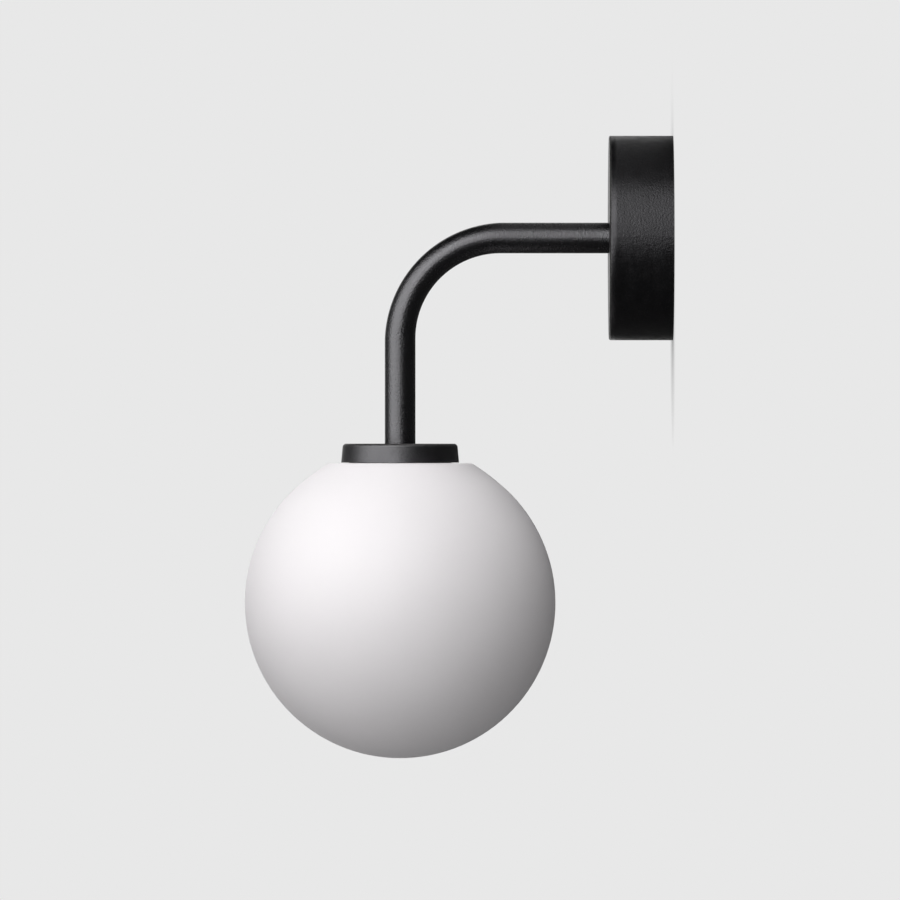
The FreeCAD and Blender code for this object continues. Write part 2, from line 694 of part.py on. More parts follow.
def make_thread_ring():
    bore = f"{THREAD_ROOT} - ring_wall"
    ridge_height = "thread_lead * ring_thread_turns"
    low = f"{THREAD_TOP} - {ridge_height} - thread_base / 2 - ring_lip"
    body = turned("thread_ring", "Z", [
        (PIPE_HOLE, FLANGE_BOTTOM), (bore, FLANGE_BOTTOM), (bore, low), (THREAD_ROOT, low),
        (THREAD_ROOT, FLANGE_BOTTOM), (RING_EDGE, FLANGE_BOTTOM), (RING_EDGE, RING_TOP),
        (PIPE_HOLE, RING_TOP),
    ])
    add_thread(body, "ring_thread", THREAD_ROOT, f"{THREAD_ROOT} + thread_height", THREAD_TOP,
               ridge_height)
    return keep(place(body, y=DROP_AXIS), "thread_ring")


def make_lamp_joint():
    """The hollow tube that holds the cap, the ring and the lamp holder's strap to the arm."""
    nipple = turned("lamp_nipple", "Z", ring_outline(
        "pipe_bore / 2", "pipe_thread_diameter / 2", LAMP_NIPPLE_END, f"{CAP_TOP} + nipple_seat"))
    keep(place(nipple, y=DROP_AXIS), "lamp_nipple")
    lock_washer("lamp_lock_washer", f"{STRAP_BOTTOM} - washer_sheet", STRAP_BOTTOM, "Z", DROP_AXIS)
    hex_nut("lamp_nut", LAMP_NUT_LOW, "Z", DROP_AXIS)


def make_gasket():
    body = turned("neck_gasket", "Z", ring_outline(
        f"{NECK_BORE} + part_gap", NECK_EDGE, GASKET_BOTTOM, GASKET_TOP))
    return keep(place(body, y=DROP_AXIS), "neck_gasket")


def shoulder_end(bend, level):
    """Radius at which the flatter shoulder arc reaches a level, counted from the globe's centre.
    The arc leaves the ball at the shoulder angle, in line with it."""
    ball = "globe_diameter / 2"
    back = f"(shoulder_bend_radius - {ball})"
    reach = f"sqrt(({bend})^2 - ({level} + {back} * sin(shoulder_angle))^2)"
    return f"({reach} - {back} * cos(shoulder_angle))"


def make_globe():
    ball = "(globe_diameter / 2)"
    hollow = f"({ball} - glass_wall)"
    inner_bend = "(shoulder_bend_radius - glass_wall)"
    inner_flat = f"({FLAT_HEIGHT} - glass_wall)"
    outside = shoulder_end("shoulder_bend_radius", FLAT_HEIGHT)
    inside = shoulder_end(inner_bend, inner_flat)
    body = turned("glass_globe", "Z", [
        ("0", f"{GLOBE_CENTRE} - {ball}", ball),
        (f"{ball} * cos(shoulder_angle)", f"{GLOBE_CENTRE} + {ball} * sin(shoulder_angle)",
         "shoulder_bend_radius"),
        (outside, GLOBE_FLAT),
        (NECK_EDGE, GLOBE_FLAT),
        (NECK_EDGE, NECK_TOP),
        (NECK_BORE, NECK_TOP),
        (NECK_BORE, f"{GLOBE_FLAT} - glass_wall"),
        (inside, f"{GLOBE_FLAT} - glass_wall", f"-{inner_bend}"),
        (f"{hollow} * cos(shoulder_angle)", f"{GLOBE_CENTRE} + {hollow} * sin(shoulder_angle)",
         f"-{hollow}"),
        ("0", f"{GLOBE_CENTRE} - {hollow}"),
    ])
    round_rim(body, outside, GLOBE_FLAT, "Z", "shoulder_edge_radius")
    start = f"({THREAD_TOP} - thread_lead / 2)"
    ridge_height = f"{start} - ({GLOBE_FLAT} - glass_wall) - thread_base / 2 - neck_lip"
    add_thread(body, "glass_thread", NECK_BORE, f"{NECK_BORE} - thread_height", start, ridge_height)
    return keep(place(body, y=DROP_AXIS), "glass_globe")


def make_holder():
    """A ceramic holder hangs on a strap bent down on both sides, under the nut."""
    half = "holder_width / 2"
    strap_low = f"{HOLDER_TOP} - holder_screw_depth * 2"
    plate = box("strap_plate", "holder_width + holder_sheet * 2", "holder_strap_width",
                "holder_sheet", f"-{half} - holder_sheet", f"{DROP_AXIS} - holder_strap_width / 2",
                STRAP_BOTTOM)
    legs = []
    for name, start in (("near", half), ("far", f"-{half} - holder_sheet")):
        legs.append(box(f"strap_leg_{name}", "holder_sheet", "holder_strap_width",
                        f"{STRAP_BOTTOM} - ({strap_low})", start,
                        f"{DROP_AXIS} - holder_strap_width / 2", strap_low))
    screw_level = f"{HOLDER_TOP} - holder_screw_depth"
    holes = [
        cylinder("strap_pipe_hole", PIPE_HOLE, "holder_sheet", y=DROP_AXIS, z=STRAP_BOTTOM),
        cylinder("strap_screw_holes", "holder_screw_diameter / 2 + hole_gap",
                 "holder_width + holder_sheet * 2", f"-{half} - holder_sheet", DROP_AXIS,
                 screw_level, "X"),
    ]
    keep(cut("strap", fuse("strap_blank", plate, *legs), *holes), "holder_bracket")

    body = doc.addObject("PartDesign::Body", "holder_ceramic")
    outline = draw(body, "holder_outline", "XY_Plane", [[
        (f"-{half}", "-holder_length / 2"), (half, "-holder_length / 2"),
        (half, "holder_length / 2"), (f"-{half}", "holder_length / 2"),
    ]])
    block = pad(body, outline, "holder_height")
    doc.recompute()
    uprights = []
    for index, edge in enumerate(block.Shape.Edges, start=1):
        ends = [vertex.Point for vertex in edge.Vertexes]
        if abs(ends[0].z - ends[1].z) > SAME:
            uprights.append(f"Edge{index}")
    rounding = body.newObject("PartDesign::Fillet", "holder_corners")
    rounding.Base = (block, uprights)
    bind(rounding, Radius="holder_corner_radius")
    place(body, y=DROP_AXIS, z=HOLDER_BOTTOM)
    bores = [cylinder("holder_screw_bore", "holder_screw_diameter / 2 + thread_gap",
                      "holder_width", f"-{half}", DROP_AXIS, screw_level, "X")]
    contacts = []
    for name, sign in (("live", "-"), ("neutral", "+")):
        where = f"{DROP_AXIS} {sign} contact_pitch / 2"
        bores.append(cylinder(f"{name}_entry", "wire_diameter / 2 + wire_entry_gap",
                              "wire_entry_depth", y=where, z=CHAMBER_TOP))
        bores.append(box(f"{name}_chamber", "contact_width + fit_gap * 2",
                         "contact_length + fit_gap * 2", f"{CHAMBER_TOP} - ({HOLDER_BOTTOM})",
                         "-contact_width / 2 - fit_gap", f"{where} - contact_length / 2 - fit_gap",
                         HOLDER_BOTTOM))
        clip_low = f"{HOLDER_BOTTOM} + contact_sink"
        core_end = f"{CHAMBER_TOP} - core_length"
        clip = box(f"{name}_clip", "contact_width", "contact_length", f"{CHAMBER_TOP} - ({clip_low})",
                   "-contact_width / 2", f"{where} - contact_length / 2", clip_low)
        channel = cylinder(f"{name}_channel", "lamp_pin_diameter / 2 + thread_gap",
                           f"{core_end} - ({clip_low})", y=where, z=clip_low)
        crimp = cylinder(f"{name}_crimp", "core_diameter / 2 + thread_gap", "core_length",
                         y=where, z=core_end)
        contacts.append(cut(f"{name}_contact", clip, channel, crimp))
    keep(cut("holder_bored", body, *bores), "lampholder")
    keep(group("contact_pair", contacts), "holder_contacts")

    seat = f"({half} + holder_sheet)"
    screws = []
    for name, stem_start, head_start, slot_start in (
        ("near", f"{seat} - holder_screw_length", seat,
         f"{seat} + holder_head_height - driver_slot_depth"),
        ("far", f"-{seat}", f"-{seat} - holder_head_height", f"-{seat} - holder_head_height"),
    ):
        stem = cylinder(f"{name}_holder_stem", "holder_screw_diameter / 2", "holder_screw_length",
                        stem_start, DROP_AXIS, screw_level, "X")
        head = cylinder(f"{name}_holder_head", "holder_head_diameter / 2", "holder_head_height",
                        head_start, DROP_AXIS, screw_level, "X")
        slot = box(f"{name}_holder_slot", "driver_slot_depth", "holder_head_diameter",
                   "driver_slot_width", slot_start, f"{DROP_AXIS} - holder_head_diameter / 2",
                   f"{screw_level} - driver_slot_width / 2")
        screws.append(cut(f"{name}_holder_screw", fuse(f"{name}_holder_blank", stem, head), slot))
    keep(group("holder_screw_pair", screws), "holder_screws")


def make_lamp():
    """A plug-in lamp: two pins and a round base, and a clear capsule over a board."""
    radius = "lamp_diameter / 2"
    bottom = f"{LAMP_BASE_BOTTOM} - lamp_capsule_height"
    base = turned("lamp_base_body", "Z", [
        ("0", LAMP_BASE_BOTTOM), (radius, LAMP_BASE_BOTTOM), (radius, LAMP_TOP), ("0", LAMP_TOP),
    ])
    round_rim(base, radius, LAMP_TOP, "Z", "lamp_capsule_wall")
    keep(place(base, y=DROP_AXIS), "lamp_base")
    wall = "lamp_capsule_wall"
    capsule = turned("lamp_capsule_body", "Z", [
        ("0", bottom, radius), (radius, f"{bottom} + {radius}"), (radius, LAMP_BASE_BOTTOM),
        (f"{radius} - {wall}", LAMP_BASE_BOTTOM),
        (f"{radius} - {wall}", f"{bottom} + {radius}", f"-({radius} - {wall})"),
        ("0", f"{bottom} + {wall}"),
    ])
    keep(place(capsule, y=DROP_AXIS), "lamp_capsule")
    board = box("board", "lamp_board_width", "lamp_board_sheet", "lamp_board_length",
                "-lamp_board_width / 2", f"{DROP_AXIS} - lamp_board_sheet / 2",
                f"{LAMP_BASE_BOTTOM} - lamp_board_length")
    keep(board, "lamp_board")
    pins = []
    for name, sign in (("live", "-"), ("neutral", "+")):
        pins.append(cylinder(f"{name}_pin", "lamp_pin_diameter / 2",
                             f"{CHAMBER_TOP} - core_length - part_gap - ({LAMP_TOP})",
                             y=f"{DROP_AXIS} {sign} contact_pitch / 2", z=LAMP_TOP))
    keep(group("pin_pair", pins), "lamp_pins")


def cable_path(spots):
    """Straight runs joined by tangent arcs. A spot is (x, y, z), or (x, y, z, radius) where the
    arc is set by what guides the wire; the other arcs are as large as their runs allow."""
    points = [FreeCAD.Vector(*(number(text) for text in spot[:3])) for spot in spots]
    edges = []
    radii = []
    last = points[0]
    for index in range(1, len(points) - 1):
        before = points[index - 1] - points[index]
        after = points[index + 1] - points[index]
        turn = math.pi - before.getAngle(after)
        if len(spots[index]) == 4:
            radius = number(spots[index][3])
        else:
            radius = ARC_SHARE * min(before.Length, after.Length) / math.tan(turn / 2)
        trim = radius * math.tan(turn / 2)
        start = points[index] + before.normalize() * trim
        end = points[index] + after.normalize() * trim
        inwards = (before + after).normalize()
        middle = points[index] + inwards * (radius / math.cos(turn / 2) - radius)
        edges.append(Part.LineSegment(last, start).toShape())
        edges.append(Part.Arc(start, middle, end).toShape())
        radii.append(round(radius, 1))
        last = end
    edges.append(Part.LineSegment(last, points[-1]).toShape())
    return Part.Wire(edges), points, radii


def make_wire(name, spots):
    """An insulated wire along its route, with its bare core standing out at both ends."""
    path, points, radii = cable_path(spots)
    radius = number("wire_diameter / 2")
    bare = number("core_diameter / 2")
    length = number("core_length")
    heading = points[1] - points[0]
    ring = Part.Wire([Part.Circle(points[0], heading, radius).toShape()])
    sleeve = path.makePipeShell([ring], True, False)
    print(name, "arc radii", radii, "volume over section times length",
          round(sleeve.Volume / (math.pi * radius ** 2 * path.Length), 4))
    first = Part.makeCylinder(bare, length, points[0], heading * -1)
    last = Part.makeCylinder(bare, length, points[-1], points[-1] - points[-2])
    item = doc.addObject("Part::Feature", name)
    item.Shape = sleeve.fuse([first, last])
    return keep(item, name)


def make_wires():
    """Live and neutral run side by side from the block through the arm to the lamp holder. The
    earth wire joins the block to the bracket."""
    block_face = "-block_reach"
    fork = f"{LAMP_NIPPLE_END} - fit_gap"
    for name, pole, sign in (("live_wire", 0, ""), ("neutral_wire", -1, "-")):
        offset = f"{sign}wire_offset"
        drop = f"{DROP_AXIS} - ({offset})"
        pin = f"{DROP_AXIS} - contact_pitch / 2" if not sign else f"{DROP_AXIS} + contact_pitch / 2"
        make_wire(name, [
            (block_face, POLE_LEVEL, pole_place(pole)),
            (f"{block_face} + wire_lead_out", POLE_LEVEL, pole_place(pole)),
            ("0", f"{POLE_LEVEL} - wire_diameter", offset),
            ("0", drop, offset, f"bend_radius + {offset}"),
            ("0", drop, fork),
            ("0", pin, f"{HOLDER_TOP} + wire_diameter / 2"),
            ("0", pin, CHAMBER_TOP),
        ])
    barrel_end = "-earth_washer_diameter / 2 - earth_barrel_length"
    barrel_level = "-bracket_sheet - earth_washer_sheet - earth_barrel_diameter / 2"
    run = f"(block_reach + {barrel_end}) / 3"
    make_wire("earth_wire", [
        (block_face, POLE_LEVEL, pole_place(1)),
        (f"{block_face} + {run}", POLE_LEVEL, pole_place(1)),
        (f"{barrel_end} - {run}", barrel_level, "earth_height"),
        (barrel_end, barrel_level, "earth_height"),
    ])


make_bracket()
make_earth_point()
make_terminal_block()
make_canopy()
make_canopy_screws()
make_wall_joint()
make_arm()
make_cap()
make_thread_ring()
make_lamp_joint()
make_holder()
make_wires()
make_gasket()
make_globe()
make_lamp()
doc.recompute()

for item in doc.Objects:
    if "Invalid" in item.State or "Error" in item.State:
        raise RuntimeError(f"{item.Name} failed: {item.State}")
for item in parts:
    if item.Shape.isNull() or not item.Shape.isValid() or not item.Shape.Solids:
        raise RuntimeError(f"{item.Label} has no sound shape")

os.makedirs("parts", exist_ok=True)
for item in parts:
    item.Shape.exportStep(f"parts/{item.Label}.step")
print(len(parts), "pieces written")
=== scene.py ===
import math

import bpy
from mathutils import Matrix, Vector


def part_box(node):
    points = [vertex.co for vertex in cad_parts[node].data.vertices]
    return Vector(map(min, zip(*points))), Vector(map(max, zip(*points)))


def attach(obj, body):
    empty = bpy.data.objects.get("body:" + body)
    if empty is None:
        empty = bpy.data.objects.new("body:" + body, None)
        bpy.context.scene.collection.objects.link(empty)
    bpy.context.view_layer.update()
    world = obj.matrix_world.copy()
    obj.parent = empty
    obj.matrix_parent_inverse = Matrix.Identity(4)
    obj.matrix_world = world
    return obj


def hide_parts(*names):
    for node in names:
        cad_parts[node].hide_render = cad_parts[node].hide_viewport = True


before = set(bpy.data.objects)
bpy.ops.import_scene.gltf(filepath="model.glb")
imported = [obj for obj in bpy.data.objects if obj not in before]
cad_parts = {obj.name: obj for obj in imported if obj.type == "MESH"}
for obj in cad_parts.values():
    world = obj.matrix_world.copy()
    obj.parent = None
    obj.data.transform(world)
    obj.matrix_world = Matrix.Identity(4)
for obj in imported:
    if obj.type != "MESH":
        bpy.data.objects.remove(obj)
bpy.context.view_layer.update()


# The wall bracket: a strip of 2 mm steel, slotted for the wall screws, with two ears bent forward
# for the canopy's screws and a tab for the terminal block. It is pressed, bent and then bright
# zinc plated, so the rolled grain of the strip shows through an uneven, slightly blue plate.
def add_node(tree, kind, inputs=None, **settings):
    """A new node, whose inputs get a value each or the output of another node."""
    made = tree.nodes.new(kind)
    for name, value in settings.items():
        setattr(made, name, value)
    for name, value in (inputs or {}).items():
        if isinstance(value, bpy.types.NodeSocket):
            tree.links.new(value, made.inputs[name])
        else:
            made.inputs[name].default_value = value
    return made


def add_group(tree, group, **values):
    """The outputs of a node group placed in a material."""
    return add_node(tree, "ShaderNodeGroup", values, node_tree=group).outputs


def new_group(name, inputs, outputs):
    """An empty node group, with its tree, the sockets it reads and the ones it fills."""
    tree = bpy.data.node_groups.new(name, "ShaderNodeTree")
    for label, start in inputs.items():
        kind = "NodeSocketVector" if start is None else "NodeSocketFloat"
        socket = tree.interface.new_socket(label, in_out="INPUT", socket_type=kind)
        if start is not None:
            socket.default_value = start
    for label in outputs:
        tree.interface.new_socket(label, in_out="OUTPUT", socket_type="NodeSocketFloat")
    read = tree.nodes.new("NodeGroupInput").outputs
    filled = tree.nodes.new("NodeGroupOutput").inputs
    return tree, read, filled


def maths(tree, operation, *values):
    """The result of one step of arithmetic on numbers or on other nodes' outputs."""
    return add_node(tree, "ShaderNodeMath", dict(enumerate(values)), operation=operation).outputs[0]


def noise(tree, place, size, detail=2.0, roughness=0.5):
    """Cloudy noise whose blotches are about size metres across."""
    made = add_node(tree, "ShaderNodeTexNoise", {"Vector": place, "Scale": 1 / size,
                                                 "Detail": detail, "Roughness": roughness})
    return made.outputs["Fac"]


def run(tree, mask, low, high, start=0.0, end=1.0):
    """A value that runs from low to high while the mask runs from start to end."""
    made = add_node(tree, "ShaderNodeMapRange", {"Value": mask, "From Min": start, "From Max": end,
                                                 "To Min": low, "To Max": high})
    return made.outputs["Result"]


def tint(tree, mask, first, second):
    """A colour that runs from the first to the second with the mask."""
    ends = [end if isinstance(end, bpy.types.NodeSocket) else (*end, 1) for end in (first, second)]
    made = add_node(tree, "ShaderNodeMix", {0: mask, 6: ends[0], 7: ends[1]}, data_type="RGBA")
    return made.outputs[2]


def bumped(tree, height, depth, strength=1.0, **under):
    """The normals of a surface raised by depth metres times the height, over any under it."""
    made = add_node(tree, "ShaderNodeBump", {"Height": height, "Distance": depth,
                                             "Strength": strength, **under})
    return made.outputs["Normal"]


def centred(tree, place, middle, turn=(0, 0, 0)):
    """Coordinates with their origin at the middle and their Z axis turned along the piece."""
    made = add_node(tree, "ShaderNodeMapping", {"Vector": place, "Location": middle,
                                                "Rotation": turn}, vector_type="TEXTURE")
    return made.outputs["Vector"]


def new_material(name, **shader_values):
    """A material with one Principled shader: its tree, that shader and the object's coordinates."""
    material = bpy.data.materials.new(name)
    material.use_nodes = True
    tree = material.node_tree
    shader = tree.nodes["Principled BSDF"]
    for label, value in shader_values.items():
        shader.inputs[label.replace("_", " ")].default_value = value
    place = tree.nodes.new("ShaderNodeTexCoord").outputs["Object"]
    return material, tree, shader, place


def feed(tree, shader, **sources):
    """Links other nodes' outputs to a shader's inputs."""
    for label, source in sources.items():
        tree.links.new(source, shader.inputs[label.replace("_", " ")])


def finish(material, *node_names):
    """Gives CAD nodes this material."""
    for name in node_names:
        for material_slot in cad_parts[name].material_slots:
            material_slot.material = material


cloud, cloud_in, cloud_out = new_group("plating cloud", {"Place": None, "Size": 0.006}, ["Cloud"])
per_metre = maths(cloud, "DIVIDE", 1.0, cloud_in["Size"])
patches = add_node(cloud, "ShaderNodeTexNoise", {"Vector": cloud_in["Place"], "Scale": per_metre,
                                                 "Detail": 4.0, "Roughness": 0.62,
                                                 "Distortion": 0.8})
cloud.links.new(run(cloud, patches.outputs["Fac"], 0, 1, 0.3, 0.7), cloud_out["Cloud"])

ZINC_BLUE = (0.56, 0.57, 0.58)
ZINC_WARM = (0.70, 0.69, 0.66)
ALONG_STRIP = (1.0, 1.0, 0.03)
zinc_sheet, tree, shader, place = new_material("zinc plated strip", Metallic=1.0)
plating = add_group(tree, cloud, Place=place, Size=0.007)
rolled = add_node(tree, "ShaderNodeMapping", {"Vector": place, "Scale": ALONG_STRIP})
rolled_lines = noise(tree, rolled.outputs["Vector"], 0.0005, detail=3)
feed(tree, shader, Base_Color=tint(tree, plating["Cloud"], ZINC_BLUE, ZINC_WARM),
     Roughness=run(tree, plating["Cloud"], 0.42, 0.28),
     Normal=bumped(tree, rolled_lines, 0.00002, 0.5))
finish(zinc_sheet, "wall_bracket", "holder_bracket")


# The small turned and pressed steel fittings: screws, nuts, washers and the bushes in the arm's
# ends. They are zinc plated too, and the tool's fine rings run around each one's axis.
def measures(tree, place):
    """The three measures of a place, along X, Y and Z."""
    return add_node(tree, "ShaderNodeSeparateXYZ", {"Vector": place}).outputs


def distance_off(tree, first, second):
    """How far a place lies from an axis, from its two measures square to that axis."""
    flat = add_node(tree, "ShaderNodeCombineXYZ", {"X": first, "Y": second}).outputs["Vector"]
    return add_node(tree, "ShaderNodeVectorMath", {0: flat}, operation="LENGTH").outputs["Value"]


rings, rings_in, rings_out = new_group("turned rings", {"Place": None, "Pitch": 0.0004}, ["Height"])
part = measures(rings, rings_in["Place"])
outward = maths(rings, "ADD", distance_off(rings, part["X"], part["Y"]), part["Z"])
steps = maths(rings, "DIVIDE", outward, rings_in["Pitch"])
marks = add_node(rings, "ShaderNodeTexNoise", {"W": steps, "Scale": 1.0, "Detail": 2.0},
                 noise_dimensions="1D")
rings.links.new(marks.outputs["Fac"], rings_out["Height"])

DROP_AXIS = (0.0, -0.1335, 0.0)
ROUND_WALL_AXIS = {"middle": (0, 0, 0), "turn": (math.radians(90), 0, 0)}
ROUND_DROP_AXIS = {"middle": DROP_AXIS}


def turned_metal(name, light, dark, around, roughness=0.3):
    """A turned, plated metal with rings around an axis."""
    material, tree, shader, place = new_material(name, Metallic=1.0)
    plating = add_group(tree, cloud, Place=place, Size=0.004)
    axis = centred(tree, place, **around)
    tool_marks = add_group(tree, rings, Place=axis, Pitch=0.00035)["Height"]
    feed(tree, shader, Base_Color=tint(tree, plating["Cloud"], dark, light),
         Roughness=run(tree, plating["Cloud"], roughness + 0.12, roughness),
         Normal=bumped(tree, tool_marks, 0.00003, 0.6))
    return material


TURNED_ZINC = (0.70, 0.69, 0.66), (0.54, 0.55, 0.56)
zinc_at_wall = turned_metal("zinc plate at the wall", *TURNED_ZINC, ROUND_WALL_AXIS)
zinc_at_lamp = turned_metal("zinc plate at the lamp", *TURNED_ZINC, ROUND_DROP_AXIS)
finish(zinc_at_wall, "wall_nut", "wall_lock_washer", "wall_end_bush", "earth_screw", "earth_washer",
       "canopy_screws", "block_screw")
finish(zinc_at_lamp, "drop_end_bush", "lamp_nut", "lamp_lock_washer", "holder_screws")


# The threaded pipes, the terminals' tubes and the lamp's contacts: plain turned brass, a little
# dulled where it has been handled.
BRASS = (0.80, 0.62, 0.32), (0.60, 0.42, 0.18)
brass_at_wall = turned_metal("brass at the wall", *BRASS, ROUND_WALL_AXIS, 0.26)
brass_at_lamp = turned_metal("brass at the lamp", *BRASS, ROUND_DROP_AXIS, 0.26)
finish(brass_at_wall, "wall_nipple", "terminal_tubes")
finish(brass_at_lamp, "lamp_nipple", "holder_contacts")


# The two brass pipes that hold the arm to the canopy and the cap to the arm. Each is cut from rod
# with a fine thread rolled along all of it: a bored core with a sharp ridge wound round it.
THREAD_PITCH = 0.001
THREAD_DEPTH = 0.0005
RIDGE_SINK = 0.0001
PIPE_BORE = 0.0035
TURNS_LEFT_OFF = 0.98
STEPS_A_TURN = 32
MERGE_REACH = 0.000005
ALONG_Y = 1
ALONG_Z = 2


def clear_selection():
    """Deselects everything, since a loaded model comes in selected."""
    for other in bpy.context.selected_objects:
        other.select_set(False)


def bored_core(radius, length):
    """An open pipe along Z from the origin, with both ends closed between its two walls."""
    clear_selection()
    bpy.ops.mesh.primitive_circle_add(vertices=48, radius=radius)
    core = bpy.context.object
    bpy.ops.object.mode_set(mode="EDIT")
    bpy.ops.mesh.extrude_edges_move(TRANSFORM_OT_translate={"value": (0, 0, length)})
    bpy.ops.mesh.extrude_edges_move()
    bpy.ops.transform.resize(value=(PIPE_BORE / radius, PIPE_BORE / radius, 1))
    bpy.ops.mesh.extrude_edges_move(TRANSFORM_OT_translate={"value": (0, 0, -length)})
    bpy.ops.mesh.select_all(action="DESELECT")
    bpy.ops.mesh.select_non_manifold()
    bpy.ops.mesh.bridge_edge_loops()
    bpy.ops.mesh.select_all(action="SELECT")
    bpy.ops.mesh.normals_make_consistent(inside=False)
    bpy.ops.object.mode_set(mode="OBJECT")
    return core


def wound_ridge(radius, length):
    """The thread's ridge: a triangle that stands on the core and is screwed up round it."""
    height = THREAD_DEPTH + RIDGE_SINK
    side = 0.001
    drawn_height = 1.5 * side
    drawn_pitch = 1.8 * side
    upright = (math.radians(-90), math.radians(-90), 0)
    clear_selection()
    bpy.ops.mesh.primitive_circle_add(vertices=3, radius=side, rotation=upright)
    bpy.ops.object.transform_apply(location=True, rotation=True, scale=True)
    ridge = bpy.context.object
    bpy.ops.object.mode_set(mode="EDIT")
    bpy.ops.transform.resize(value=(height / drawn_height, 1, THREAD_PITCH / drawn_pitch),
                             center_override=(0, 0, 0))
    bpy.ops.transform.translate(value=(radius - RIDGE_SINK + height / 3, 0, THREAD_PITCH / 2))
    bpy.ops.object.mode_set(mode="OBJECT")
    wind = ridge.modifiers.new("wind", "SCREW")
    wind.axis = "Z"
    wind.angle = math.tau
    wind.screw_offset = THREAD_PITCH
    wind.iterations = int(length / THREAD_PITCH - TURNS_LEFT_OFF)
    wind.steps = STEPS_A_TURN
    wind.render_steps = STEPS_A_TURN
    bpy.ops.object.modifier_apply(modifier="wind")
    bpy.ops.object.mode_set(mode="EDIT")
    bpy.ops.mesh.select_all(action="SELECT")
    bpy.ops.mesh.remove_doubles(threshold=MERGE_REACH)
    bpy.ops.mesh.fill_holes(sides=3)
    bpy.ops.mesh.select_all(action="SELECT")
    bpy.ops.mesh.normals_make_consistent(inside=False)
    bpy.ops.object.mode_set(mode="OBJECT")
    return ridge


def threaded_pipe(name, node_name, along, turn, material):
    """A pipe with its thread, in place of the plain one that the solids have."""
    low, high = (list(corner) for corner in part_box(node_name))
    foot = [(start + end) / 2 for start, end in zip(low, high)]
    foot[along] = low[along]
    length = high[along] - low[along]
    radius = (high[0] - low[0]) / 2 - THREAD_DEPTH
    core = bored_core(radius, length)
    ridge = wound_ridge(radius, length)
    clear_selection()
    ridge.select_set(True)
    core.select_set(True)
    bpy.context.view_layer.objects.active = core
    bpy.ops.object.join()
    core.name = name
    core.rotation_euler = (turn, 0, 0)
    core.location = foot
    bpy.ops.object.transform_apply(location=True, rotation=True, scale=True)
    bpy.ops.object.shade_smooth_by_angle(angle=math.radians(30))
    core.data.materials.clear()
    core.data.materials.append(material)
    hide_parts(node_name)
    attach(core, "root")


threaded_pipe("wall_nipple_threaded", "wall_nipple", ALONG_Y, math.radians(-90), brass_at_wall)
threaded_pipe("lamp_nipple_threaded", "lamp_nipple", ALONG_Z, 0.0, brass_at_lamp)


# The earth tag is a tinned copper stamping, the terminal screws have a yellow plate, and the
# lamp's pins are nickel.
TIN = (0.74, 0.72, 0.68), (0.62, 0.58, 0.52)
YELLOW_PLATE = (0.70, 0.64, 0.46), (0.56, 0.50, 0.36)
NICKEL = (0.70, 0.67, 0.62), (0.60, 0.57, 0.52)
finish(turned_metal("tinned copper", *TIN, ROUND_WALL_AXIS, 0.35), "earth_tag")
finish(turned_metal("yellow zinc plate", *YELLOW_PLATE, ROUND_WALL_AXIS, 0.34), "terminal_screws")
finish(turned_metal("nickel", *NICKEL, ROUND_DROP_AXIS, 0.2), "lamp_pins")


# The terminal block on the bracket's tab: three poles moulded as one in natural nylon, which is
# milky and lets a little light in. The bush in the pipe's mouth is the same plastic in black.
CLOUDS_TO_GRAIN = 14.0
grain, grain_in, grain_out = new_group("moulded grain", {"Place": None, "Size": 0.0006},
                                       ["Height", "Cloud"])
grains_per_metre = maths(grain, "DIVIDE", 1.0, grain_in["Size"])
fine = add_node(grain, "ShaderNodeTexNoise", {"Vector": grain_in["Place"], "Detail": 3.0,
                                              "Scale": grains_per_metre, "Roughness": 0.55})
clouds_per_metre = maths(grain, "DIVIDE", grains_per_metre, CLOUDS_TO_GRAIN)
wide = add_node(grain, "ShaderNodeTexNoise", {"Vector": grain_in["Place"], "Detail": 2.0,
                                              "Scale": clouds_per_metre})
grain.links.new(run(grain, fine.outputs["Fac"], 0, 1, 0.3, 0.7), grain_out["Height"])
grain.links.new(run(grain, wide.outputs["Fac"], 0, 1, 0.35, 0.65), grain_out["Cloud"])


def moulded(name, light, dark, roughness, size=0.0006, depth=0.00002, **shader_values):
    """A plastic, rubber or ceramic with a fine grain and a slow change of tone."""
    material, tree, shader, place = new_material(name, **shader_values)
    surface = add_group(tree, grain, Place=place, Size=size)
    feed(tree, shader, Base_Color=tint(tree, surface["Cloud"], dark, light),
         Roughness=run(tree, surface["Height"], roughness - 0.05, roughness + 0.08),
         Normal=bumped(tree, surface["Height"], depth, 0.5))
    return material


NATURAL = (0.80, 0.79, 0.73), (0.72, 0.71, 0.64)
BLACK = (0.035, 0.034, 0.033), (0.022, 0.021, 0.021)
finish(moulded("natural nylon", *NATURAL, 0.42, Specular_IOR_Level=0.45), "terminal_block")
finish(moulded("black nylon", *BLACK, 0.45), "wire_bush")


# The wires in the arm: single insulated leads, brown and blue for the lamp, and green with two
# yellow stripes along opposite sides for the earth.
BROWN = (0.19, 0.085, 0.040), (0.13, 0.055, 0.026)
BLUE = (0.045, 0.17, 0.47), (0.030, 0.12, 0.36)
GREEN = (0.07, 0.30, 0.05)
YELLOW = (0.72, 0.60, 0.05)
STRIPE_SIDE = (0.45, 0.60, 0.66)
STRIPE_EDGE = (0.60, 0.66)
finish(moulded("brown sleeve", *BROWN, 0.38, size=0.0004), "live_wire")
finish(moulded("blue sleeve", *BLUE, 0.38, size=0.0004), "neutral_wire")
striped, tree, shader, place = new_material("striped sleeve", Roughness=0.38)
facing = tree.nodes.new("ShaderNodeTexCoord").outputs["Normal"]
sideways = add_node(tree, "ShaderNodeVectorMath", {0: facing, 1: STRIPE_SIDE},
                    operation="DOT_PRODUCT").outputs["Value"]
stripe = run(tree, maths(tree, "ABSOLUTE", sideways), 0, 1, *STRIPE_EDGE)
